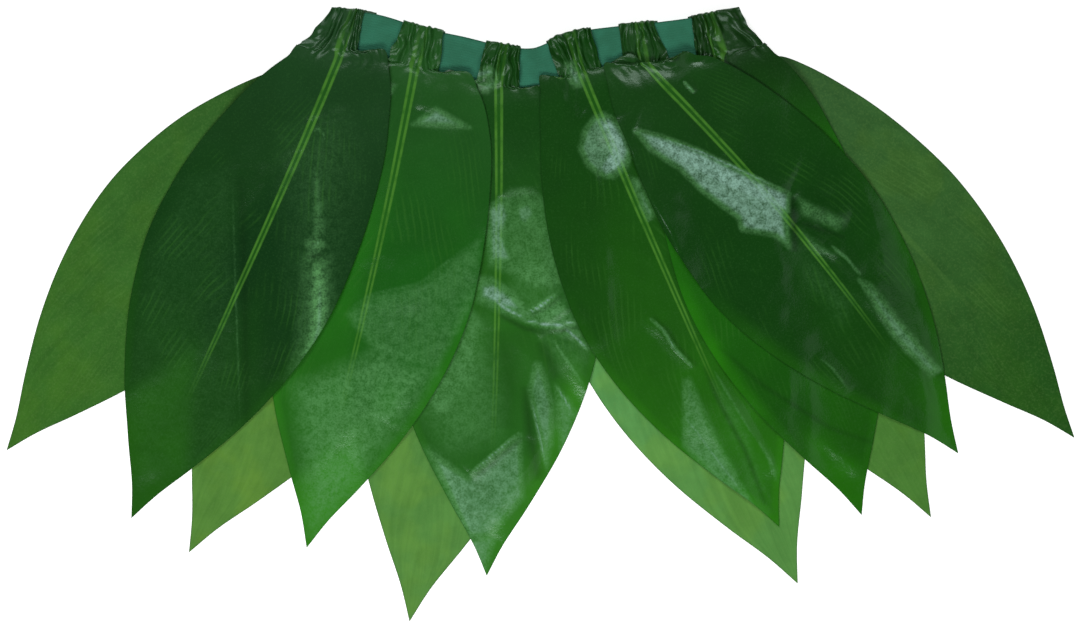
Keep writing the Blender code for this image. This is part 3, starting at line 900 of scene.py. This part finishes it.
def midrib_lines(finish, from_rib, share, half_width):
    """Two bright lines beside the middle of the leaf, closing up and fading towards the tip."""
    across = finish.math("ABSOLUTE", from_rib)
    width = (1 - share * 0.85) * half_width
    outside = finish.step(across - width, 0.0, 0.0009)
    inside = finish.step(across - width * 0.42, -0.0003, 0.0004)
    fade = (1 - finish.step(share, 0.50, 0.78)) * (finish.step(share, -0.06, 0.04) * 0.7 + 0.3)
    return inside * (1 - outside) * fade, (1 - outside) * fade


def leaf_parts(finish, face):
    """The ink of this face, the attributes that place the print on the leaf, and the painted light from
    behind.
    """
    names = ("side", "share", "from_rib", "to_edge", face + "_backing")
    return [finish.attribute(face + "_ink", "Color")] + [finish.attribute(name) for name in names]


def printed_colour(finish, ink, side, share, from_rib, to_edge, painted_backlight):
    """The print with painted light from below and along the lower edges, before any painted sheen, and where
    its midrib is.
    """
    # Painted light: near the edges of the lower blade, and where few sheets lie below, the ink eases towards
    # a lit copy.
    painted_edge_light = (1 - finish.step(to_edge, 0.001, 0.013)) * finish.step(share, 0.34, 0.60) * 0.58
    lit = finish.times(ink, 2.5, 2.3, 0.9)
    colour = finish.blend(finish.math("MAXIMUM", painted_backlight, painted_edge_light), ink, lit)
    colour = finish.blend(finish.mottle(0.03, 3, 0.3, 0.7) * 0.18, colour, paint(16, 50, 16))
    colour = finish.blend(veins(finish, side, share) * 0.24, colour, paint(66, 132, 46))
    lines, whole = midrib_lines(finish, from_rib, share, 0.0024)
    colour = finish.blend(whole * 0.55, colour, paint(44, 112, 28))
    colour = finish.blend(lines * finish.mottle(0.008, 3, 0.1, 0.6) * 0.62, colour, paint(98, 166, 58))
    return colour, whole


def printed_finish():
    finish = Finish("printed leaf face")
    ink, side, share, from_rib, to_edge, painted_backlight = leaf_parts(finish, "print")
    satin, painted_sheen_veil, painted_shade = (finish.attribute(name) for name in ("satin", "painted_sheen_veil", "painted_shade"))
    colour, whole = printed_colour(finish, ink, side, share, from_rib, to_edge, painted_backlight)
    grain = finish.speckle(0.0012, 2)
    # Painted highlights: inside the sheen patches and strokes, and under the broad painted veil, the print
    # is mixed towards a pale grainy highlight colour. The same patches are also rougher and carry a finer
    # bump.
    edge = satin + (finish.speckle(0.006, 3, 0.6) - 0.5) * satin * 0.9
    shape = finish.step(edge, 0.08, 0.36) * satin
    patchy = finish.step(grain, 0.34, 0.66) * 0.40 + finish.mottle(0.0045, 3, 0.34, 0.66, 0.65) * 0.52 + 0.20
    painted_sheen_colour = finish.blend(finish.step(satin, 0.45, 0.9), paint(108, 178, 106), paint(158, 206, 184))
    colour = finish.blend((shape + painted_sheen_veil) * patchy, colour, painted_sheen_colour)
    colour = finish.blend(finish.step(grain, 0.50, 0.75) * 0.08, colour, paint(78, 146, 66))
    colour = finish.blend((1 - finish.step(to_edge, 0.0002, 0.0007)) * 0.25, colour, paint(16, 44, 14))
    # Painted shade: dark lines beside ridges and beside the edge of a leaf above.
    colour = finish.blend(painted_shade * 0.75, colour, paint(10, 32, 10))
    normal = finish.bump(grain, 0.00014, 0.6)
    normal = finish.bump(finish.speckle(0.009, 3), 0.0006, 0.35, normal)
    normal = finish.bump(finish.speckle(0.0032, 3, 0.6) * shape, 0.0005, 0.6, normal)
    normal = finish.bump(1 - whole, 0.00015, 0.4, normal)
    roughness = 0.21 + shape * 0.16 + (grain - 0.5) * 0.10 + (1 - finish.step(share, 0.02, 0.07)) * 0.12
    finish.set(Base_Color=colour, Roughness=roughness, Normal=normal, IOR=1.5, Specular_IOR_Level=0.34)
    finish.set(Specular_Tint=(0.78, 1.0, 0.88, 1.0))
    return finish.material


def pale_finish():
    finish = Finish("pale leaf face")
    ink, side, share, from_rib, to_edge, painted_backlight = leaf_parts(finish, "pale")
    # Painted shade and light: a darker copy of the ink where sheets lie below, the full ink where painted
    # light comes up from the floor.
    colour = finish.blend(painted_backlight, finish.times(ink, 0.80, 0.82, 0.85), ink)
    stretched = finish.node("ShaderNodeCombineXYZ", {}, {"X": from_rib * 110, "Y": share * 14 - side * 4})
    settings = {"Vector": stretched, "Scale": 1.0, "Detail": 4.0, "Roughness": 0.65}
    streak = finish.node("ShaderNodeTexNoise", {}, settings)
    cloud = finish.mottle(0.020, 4, 0.35, 0.65, 0.6) * 0.5 + finish.step(streak, 0.36, 0.64) * 0.5
    warm = finish.mottle(0.035, 3, 0.45, 0.62) * 0.5
    colour = finish.blend(warm, colour, finish.times(colour, 1.35, 1.12, 0.80))
    colour = finish.blend(cloud * 0.66, colour, finish.times(colour, 0.56, 0.66, 0.60))
    colour = finish.blend(veins(finish, side, share) * 0.16, colour, paint(104, 160, 78))
    _, whole = midrib_lines(finish, from_rib, share, 0.0022)
    colour = finish.blend(whole * 0.2, colour, paint(98, 150, 66))
    grain = finish.speckle(0.0013, 3, 0.6)
    colour = finish.blend(finish.step(grain, 0.45, 0.70) * 0.17, colour, paint(116, 164, 84))
    colour = finish.blend((1 - finish.step(to_edge, 0.0002, 0.0008)) * 0.5, colour, paint(34, 74, 26))
    normal = finish.bump(grain, 0.00015, 0.6)
    finish.set(Base_Color=colour, Roughness=0.72, Normal=normal, IOR=1.45, Specular_IOR_Level=0.12)
    return finish.material


printed = printed_finish()
pale = pale_finish()
print("leaf finishes:", printed.name, "and", pale.name)

# %% [markdown]
# ## The elastic
# The waistband is one flat woven ribbon of rubber and polyester, laid as a flattened loop. It is teal,
# matt and finely ribbed along its length, with faint puckers across it where it has drawn up.

# %% Elastic band
PLY_CELLS, TURN_CELLS, BAND_ROWS = 130, 8, 14
RIBBON_SHELL = 0.0012
PUCKER = 0.00022
RIB_PITCH = 0.0016
WEAVE_PITCH = 0.0011


def band_points():
    """Mid-surface of the loop: the front ply, the right turn, the back ply and the left turn."""
    left, right = WAIST_LINE[0][0], WAIST_LINE[-1][0]
    radius = (FRONT_PLY_Z - BACK_PLY_Z) / 2
    ply = np.linspace(left, right, PLY_CELLS + 1)[:-1]
    turn = np.linspace(0, np.pi, TURN_CELLS + 1)[:-1]
    back = ply[::-1] + right - ply[-1]
    straight = np.zeros(PLY_CELLS)
    station = np.concatenate([ply, np.full(TURN_CELLS, right), back, np.full(TURN_CELLS, left)])
    bulge = np.concatenate([straight, radius * np.sin(turn), straight, -radius * np.sin(turn)])
    lift = radius * np.concatenate([straight + 1, np.cos(turn), straight - 1, -np.cos(turn)])
    middle, along, up = waist(station)
    height = np.linspace(-BAND_EDGE, BAND_EDGE, BAND_ROWS + 1)[:, None]
    wave = PUCKER * noise(5, station[None, :] / 0.004 + 50, height / 0.02 + 9)
    plan = middle + (along * bulge[:, None])[None] + up[None] * height[..., None]
    z = (FRONT_PLY_Z + BACK_PLY_Z) / 2 + lift + wave * np.where(lift > 0, 1, 0)
    return np.dstack([plan, z]), station, height


def elastic_finish():
    finish = Finish("ribbed elastic")
    rib = finish.math("SINE", finish.attribute("band_up") * (2 * np.pi / RIB_PITCH)) * 0.5 + 0.5
    weave = finish.math("SINE", finish.attribute("band_round") * (2 * np.pi / WEAVE_PITCH)) * 0.5 + 0.5
    colour = finish.blend(finish.mottle(0.012, 2, 0.3, 0.7), paint(52, 124, 94), paint(58, 136, 106))
    colour = finish.blend((1 - rib) * 0.12, colour, paint(30, 84, 62))
    colour = finish.blend(finish.mottle(0.0009, 3, 0.5, 0.75) * 0.2, colour, paint(84, 146, 120))
    normal = finish.bump(rib * 0.7 + weave * 0.3, 0.0002, 0.7)
    finish.set(Base_Color=colour, Roughness=0.8, Normal=normal, Specular_IOR_Level=0.15)
    return finish.material


def band_object(name):
    ring, station, height = band_points()
    rows, columns = ring.shape[:2]
    index = np.arange(rows * columns).reshape(rows, columns)
    beside = np.roll(index, -1, axis=1)
    faces = np.stack([index[:-1], beside[:-1], beside[1:], index[1:]], axis=-1).reshape(-1, 4)
    mesh = bpy.data.meshes.new(name)
    mesh.from_pydata(ring.reshape(-1, 3).tolist(), [], faces.tolist())
    ups = np.broadcast_to(height, (rows, columns)).ravel()
    rounds = np.broadcast_to(station, (rows, columns)).ravel()
    for key, values in (("band_up", ups), ("band_round", rounds)):
        mesh.attributes.new(key, "FLOAT", "POINT").data.foreach_set("value", values.astype(np.float32))
    mesh.materials.append(elastic_finish())
    mesh.shade_smooth()
    piece = add_object(name, mesh)
    wall = piece.modifiers.new("ribbon", "SOLIDIFY")
    wall.thickness, wall.offset = RIBBON_SHELL, 0
    return piece, ring


band, band_ring = band_object("elastic_ribbon")
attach(band, "root")
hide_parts("waistband")

# %% [markdown]
# ## The leaves
# A leaf is one sheet: hem, casing and blade. The back leaves lie on the floor with the printed face down,
# so their pale face shows. The front leaves lie on them with the printed face up.

# %% Rows and columns of a leaf
Grid = namedtuple("Grid", "share side")


def leaf_grid(top_rows, low_rows, columns):
    """Shares of the length, closer together in the gathered top, and sides from edge to edge."""
    top, low = np.linspace(0, 0.12, top_rows)[:-1], np.linspace(0.12, 1, low_rows)
    return Grid(np.concatenate([top, low]), np.linspace(-1, 1, columns))


FRONT_GRID = leaf_grid(40, 160, 99)
BACK_GRID = leaf_grid(30, 110, 71)
MIDDLE_SHARE = 0.42
LOW_SHARE = 0.45
Ink = namedtuple("Ink", "upper middle low")
INKS = {
    "front_leaf_1": Ink((34, 79, 36), (18, 61, 24), (22, 70, 20)),
    "front_leaf_2": Ink((40, 98, 37), (31, 105, 26), (36, 102, 30)),
    "front_leaf_3": Ink((26, 80, 22), (36, 97, 32), (36, 96, 36)),
    "front_leaf_4": Ink((24, 78, 19), (27, 85, 18), (37, 108, 20)),
    "front_leaf_5": Ink((29, 79, 25), (21, 74, 17), (23, 79, 13)),
    "front_leaf_6": Ink((24, 66, 19), (34, 114, 16), (24, 84, 12)),
    "back_leaf_1": Ink((57, 113, 45), (64, 123, 45), (67, 128, 43)),
    "back_leaf_2": Ink((92, 151, 60), (101, 158, 64), (103, 161, 67)),
    "back_leaf_3": Ink((93, 153, 68), (101, 164, 76), (103, 166, 77)),
    "back_leaf_4": Ink((100, 168, 88), (114, 190, 105), (105, 171, 82)),
    "back_leaf_5": Ink((74, 134, 51), (88, 149, 60), (90, 152, 61)),
    "back_leaf_6": Ink((76, 127, 68), (66, 120, 54), (43, 102, 30)),
}
# The face that lies downwards: the pale one of a front leaf, the printed one of a back leaf.
PALE_BELOW = Ink((70, 122, 50), (84, 138, 58), (88, 142, 60))
PRINT_BELOW = Ink((27, 74, 24), (29, 84, 24), (33, 92, 24))
HEM_ROWS, TURN_ROWS, OUTER_ROWS = 9, 7, 20
HEM_DOWN, TURN_DOWN = -0.030, -0.0265


def casing_section():
    """Height, level from mid-band, share outside and place below the seam of each row of a casing."""
    turn = np.linspace(-np.pi / 2, np.pi / 2, TURN_ROWS + 2)[1:-1]
    hem = np.linspace(-BAND_EDGE - 0.0006, BAND_EDGE, HEM_ROWS - 1)
    inner = np.concatenate([[-BAND_EDGE - HEM_LENGTH], hem])
    outer = np.linspace(BAND_EDGE, -BAND_EDGE, OUTER_ROWS)
    height = np.concatenate([inner, BAND_EDGE + CASING_REACH * np.cos(turn), outer])
    turned = [np.full(HEM_ROWS, -1.0), np.sin(turn), np.ones(OUTER_ROWS)]
    level = CASING_REACH * np.concatenate(turned)
    level[0] = CASING_REACH - SEAM_GAP
    outside = np.concatenate([np.zeros(HEM_ROWS), ease((turn + np.pi / 2) / np.pi), np.ones(OUTER_ROWS)])
    down = np.concatenate([np.full(HEM_ROWS, HEM_DOWN), np.full(TURN_ROWS, TURN_DOWN), -BAND_EDGE - outer])
    return height[:, None], level[:, None], outside[:, None], down


def casing_rows(leaf, seed, front):
    """Hem, inner ply, turn over the top edge and outer ply, as the face next to the elastic."""
    side_columns = (FRONT_GRID if front else BACK_GRID).side
    height, level, outside, down = casing_section()
    _, along, _ = waist(np.array(leaf.foot))
    grip = GATHERS.get(leaf.name, Gather(*4 * [CASING_HALF_WIDTH]))
    rise = ease((height + BAND_EDGE) / ELASTIC_HEIGHT)
    left = grip.left_foot + (grip.left_top - grip.left_foot) * rise
    right = grip.right_foot + (grip.right_top - grip.right_foot) * rise
    ragged = 1 + 0.07 * noise(seed + 5, side_columns[None, :] * 1.5 + 30, height / 0.006 + 20)
    reach = np.where(side_columns < 0, left, right) * side_columns * ragged
    middle, _, up = waist(leaf.foot + reach * along[0])
    relief = gathers(seed, side_columns[None, :], down[:, None])
    frill = 0.5 * relief * (1 - side_columns**4) * ease((height - 0.008) / 0.005)
    plan = middle + up * (height + frill * outside)[..., None]
    if front:
        z = FRONT_PLY_Z + level + relief * outside
    else:
        z = np.broadcast_to(BACK_PLY_Z - level, relief.shape)
    return np.dstack([plan, z]), down


def ink_colours(ink, along):
    """Linear colour at every point, eased from the leaf's upper colour to its middle and its low one."""
    upper, middle, low = (np.array(paint(*colour)) for colour in ink)
    first = ease(along / MIDDLE_SHARE)[..., None]
    second = ease((along - MIDDLE_SHARE) / LOW_SHARE)[..., None]
    return upper + (middle - upper) * first + (low - middle) * second


print("points of a front and a back blade:", [len(g.share) * len(g.side) for g in (FRONT_GRID, BACK_GRID)])

# %% [markdown]
# ## Shape one leaf
# The blade is joined to its casing and laid down. A front blade falls from its casing to what is below
# and carries its relief on top. A back blade lies on the floor, so its relief belongs to the form that is
# laid down. Then every point is told where it is on the leaf, how much painted light comes up through it,
# and how much painted sheen and painted shade it carries.

# %% From a row of the table to a piece of cloth
FOOT_SHARE = 0.014
SWELL_FROM = 0.05
CREASES_FROM = 0.08
LIGHT_LOSS = 1.1
LIGHT_FROM, LIGHT_OVER = 0.08, 0.35


def swell(seed, plan):
    """Slow unevenness of the cloth, at two sizes."""
    coarse = 0.0006 * noise(seed + 7, plan[..., 0] / 0.021 + 40, plan[..., 1] / 0.024 + 40)
    return coarse + 0.0002 * noise(seed + 8, plan[..., 0] / 0.008 + 60, plan[..., 1] / 0.009 + 60)


def front_blade(leaf, seed, plan, ground):
    share, side = FRONT_GRID
    down = (share * BLADE_CUT)[:, None]
    fall = (FRONT_PLY_Z + CASING_REACH) * (1 - ease(share / SEAM_FALL_SHARE))[:, None] + 0 * plan[..., 0]
    blade = lay_down(np.dstack([plan, fall]), ground)
    relief = FOLD_SHARE * fold_relief(leaf, side, share)
    relief = relief + np.maximum(swell(seed, plan), -0.0002) * ease(down / SWELL_FROM)
    relief = relief + gathers(seed, side[None, :], down) + crease_relief(leaf.name, plan)
    blade[..., 2] += relief
    return blade


def back_blade(leaf, seed, plan, ground):
    down = (BACK_GRID.share * BLADE_CUT)[:, None]
    relief = 0.5 * np.maximum(swell(seed, plan), 0) * ease(down / SWELL_FROM)
    relief = relief + crease_relief(leaf.name, plan) * ease(down / CREASES_FROM)
    return lay_down(np.dstack([plan, relief + CLOTH]), ground + CLOTH)


def print_attributes(leaf, front, points, along, sheets_below):
    """Values at every point: its place on the leaf, inks, painted light from below, painted sheen and
    painted shade lines.
    """
    side = (FRONT_GRID if front else BACK_GRID).side[None, :]
    plan = points[..., :2]
    reach = half_width(leaf, np.clip(along, 0, 1), side)
    # Painted light from below: it fades with each sheet under a point and is kept out of the top of the
    # leaf.
    painted_backlight = np.exp(-LIGHT_LOSS * sheets_below[cells(points)]) * ease((along - LIGHT_FROM) / LIGHT_OVER)
    print_ink, pale_ink = (INKS[leaf.name], PALE_BELOW) if front else (PRINT_BELOW, INKS[leaf.name])
    return {
        "side": np.abs(side) + 0 * along,
        "share": along,
        "from_rib": reach * side,
        "to_edge": reach * (1 - np.abs(side)),
        "print_ink": ink_colours(print_ink, along),
        "pale_ink": ink_colours(pale_ink, along),
        "print_backing": painted_backlight * front,
        "pale_backing": painted_backlight * (not front),
        "satin": np.maximum(patch_strength(leaf.name, plan, False), stroke_strength(leaf.name, plan, 1)),
        "painted_shade": stroke_strength(leaf.name, plan, -1),
        "painted_sheen_veil": patch_strength(leaf.name, plan, True),
    }


def lay_leaf(leaf, seed, front, ground, sheets_below):
    """The grid of one whole leaf, its attributes, and its blade alone."""
    grid, lay_blade = (FRONT_GRID, front_blade) if front else (BACK_GRID, back_blade)
    casing, casing_down = casing_rows(leaf, seed, front)
    plan = blade_plan(leaf, grid.side, grid.share)
    shift = (casing[-1, :, :2] - plan[0])[None]
    plan = plan + shift * np.exp(-((grid.share[:, None, None] / FOOT_SHARE) ** 2))
    blade = lay_blade(leaf, seed, plan, ground)
    blade[-1, :, 2] = blade[-1, :, 2].max()
    points = np.concatenate([casing[:-1], blade])
    along = np.concatenate([casing_down[:-1] / BLADE_CUT, grid.share])[:, None] + 0 * grid.side[None, :]
    return points, print_attributes(leaf, front, points, along, sheets_below), blade


def finish_leaf(leaf, points, attributes, front):
    finishes = (printed, pale) if front else (pale, printed)
    piece = cloth_object("cloth_" + leaf.name, points, attributes, finishes, front)
    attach(piece, "root")
    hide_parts(leaf.name)
    width, length, area = leaf_cut(leaf)
    top = 1000 * float(points[..., 2].max())
    print(piece.name, "cut %.3f x %.3f m, top %.1f mm" % (width, length, top))


# %% [markdown]
# ## Back leaves
# They lie on the floor in the order of the table, each over the ones before it.

# %% Back leaves
BACK_SEED, FRONT_SEED, SEED_STEP = 100, 300, 10
for number, leaf in enumerate(BACK_LEAVES):
    seed = BACK_SEED + SEED_STEP * number
    points, attributes, blade = lay_leaf(leaf, seed, False, heights, layers)
    finish_leaf(leaf, points, attributes, False)
    mark(points, 0, heights)
    count_sheet(blade)

# %% [markdown]
# ## Front leaves
# They hang from the front ply. All their casings are there before the first blade is laid, because a
# blade's shoulder lies over the casings beside it.

# %% Front leaves
mark(band_ring, ELASTIC_THICKNESS / 2, heights)
front_seeds = {leaf.name: FRONT_SEED + SEED_STEP * number for number, leaf in enumerate(FRONT_LEAVES)}
casing_maps = {}
for leaf in FRONT_LEAVES:
    casing_maps[leaf.name] = np.full(MAP_SHAPE, -LAY_GAP)
    mark(casing_rows(leaf, front_seeds[leaf.name], True)[0], CLOTH, casing_maps[leaf.name])
for leaf in FRONT_LEAVES:
    others = [casing_maps[other.name] for other in FRONT_LEAVES if other.name != leaf.name]
    ground = np.max([heights, *others], axis=0)
    points, attributes, blade = lay_leaf(leaf, front_seeds[leaf.name], True, ground, soften(layers))
    finish_leaf(leaf, points, attributes, True)
    mark(blade, CLOTH, heights)
    count_sheet(blade)

# %% [markdown]
# ## Floor, light and camera
# The floor is plain and white. Three soft boxes stand well off the vertical, so flat cloth stays dark and
# only tilted facets mirror them. The camera looks straight down.

# %% Stage
FLOOR_HALF, FLOOR_Z = 3, -0.0004
FRAME_WIDTH = 1080 * VIEW_STEP
LENS, SENSOR = 85, 36
CAMERA_PLACE = (-0.00032, 0.00192)
FOCUS_Z = 0.004

floor_finish = Finish("white floor")
floor_finish.set(Base_Color=(0.92, 0.92, 0.92, 1), Roughness=0.9)
floor_finish.set(Emission_Color=(1, 1, 1, 1), Emission_Strength=0.6)
floor_mesh = bpy.data.meshes.new("floor")
corners = [(-1, -1), (1, -1), (1, 1), (-1, 1)]
floor_mesh.from_pydata([(FLOOR_HALF * x, FLOOR_HALF * y, FLOOR_Z) for x, y in corners], [], [(0, 1, 2, 3)])
floor_mesh.materials.append(floor_finish.material)
add_object("floor", floor_mesh)

SoftBox = namedtuple("SoftBox", "name azimuth lean distance width height power")
SOFT_BOXES = (
    SoftBox("low_strip", 262, 38, 1.5, 1.5, 0.45, 16.5),
    SoftBox("right_box", 350, 40, 1.5, 1.0, 0.8, 1.6),
    SoftBox("top_box", 110, 42, 1.6, 1.0, 0.5, 11),
)
for box in SOFT_BOXES:
    light = bpy.data.lights.new(box.name, "AREA")
    light.shape = "RECTANGLE"
    light.size, light.size_y, light.energy = box.width, box.height, box.power
    azimuth, lean = np.radians(box.azimuth), np.radians(box.lean)
    holder = add_object(box.name, light)
    holder.location = (
        box.distance * np.sin(lean) * np.cos(azimuth),
        box.distance * np.sin(lean) * np.sin(azimuth),
        box.distance * np.cos(lean),
    )
    holder.rotation_euler = (lean, 0, azimuth + np.pi / 2)

world = bpy.data.worlds.new("dim room")
bpy.context.scene.world = world
world.use_nodes = True
background = world.node_tree.nodes["Background"].inputs
background["Color"].default_value = (0.9, 0.95, 1, 1)
background["Strength"].default_value = 0.06
bpy.context.scene.view_settings.view_transform = "Standard"

camera_data = bpy.data.cameras.new("camera")
camera_data.lens, camera_data.sensor_width, camera_data.clip_end = LENS, SENSOR, 20
camera = add_object("camera", camera_data)
camera.location = (*CAMERA_PLACE, FOCUS_Z + FRAME_WIDTH * LENS / SENSOR)
bpy.context.scene.camera = camera
print("camera height:", round(camera.location.z, 3), "m")
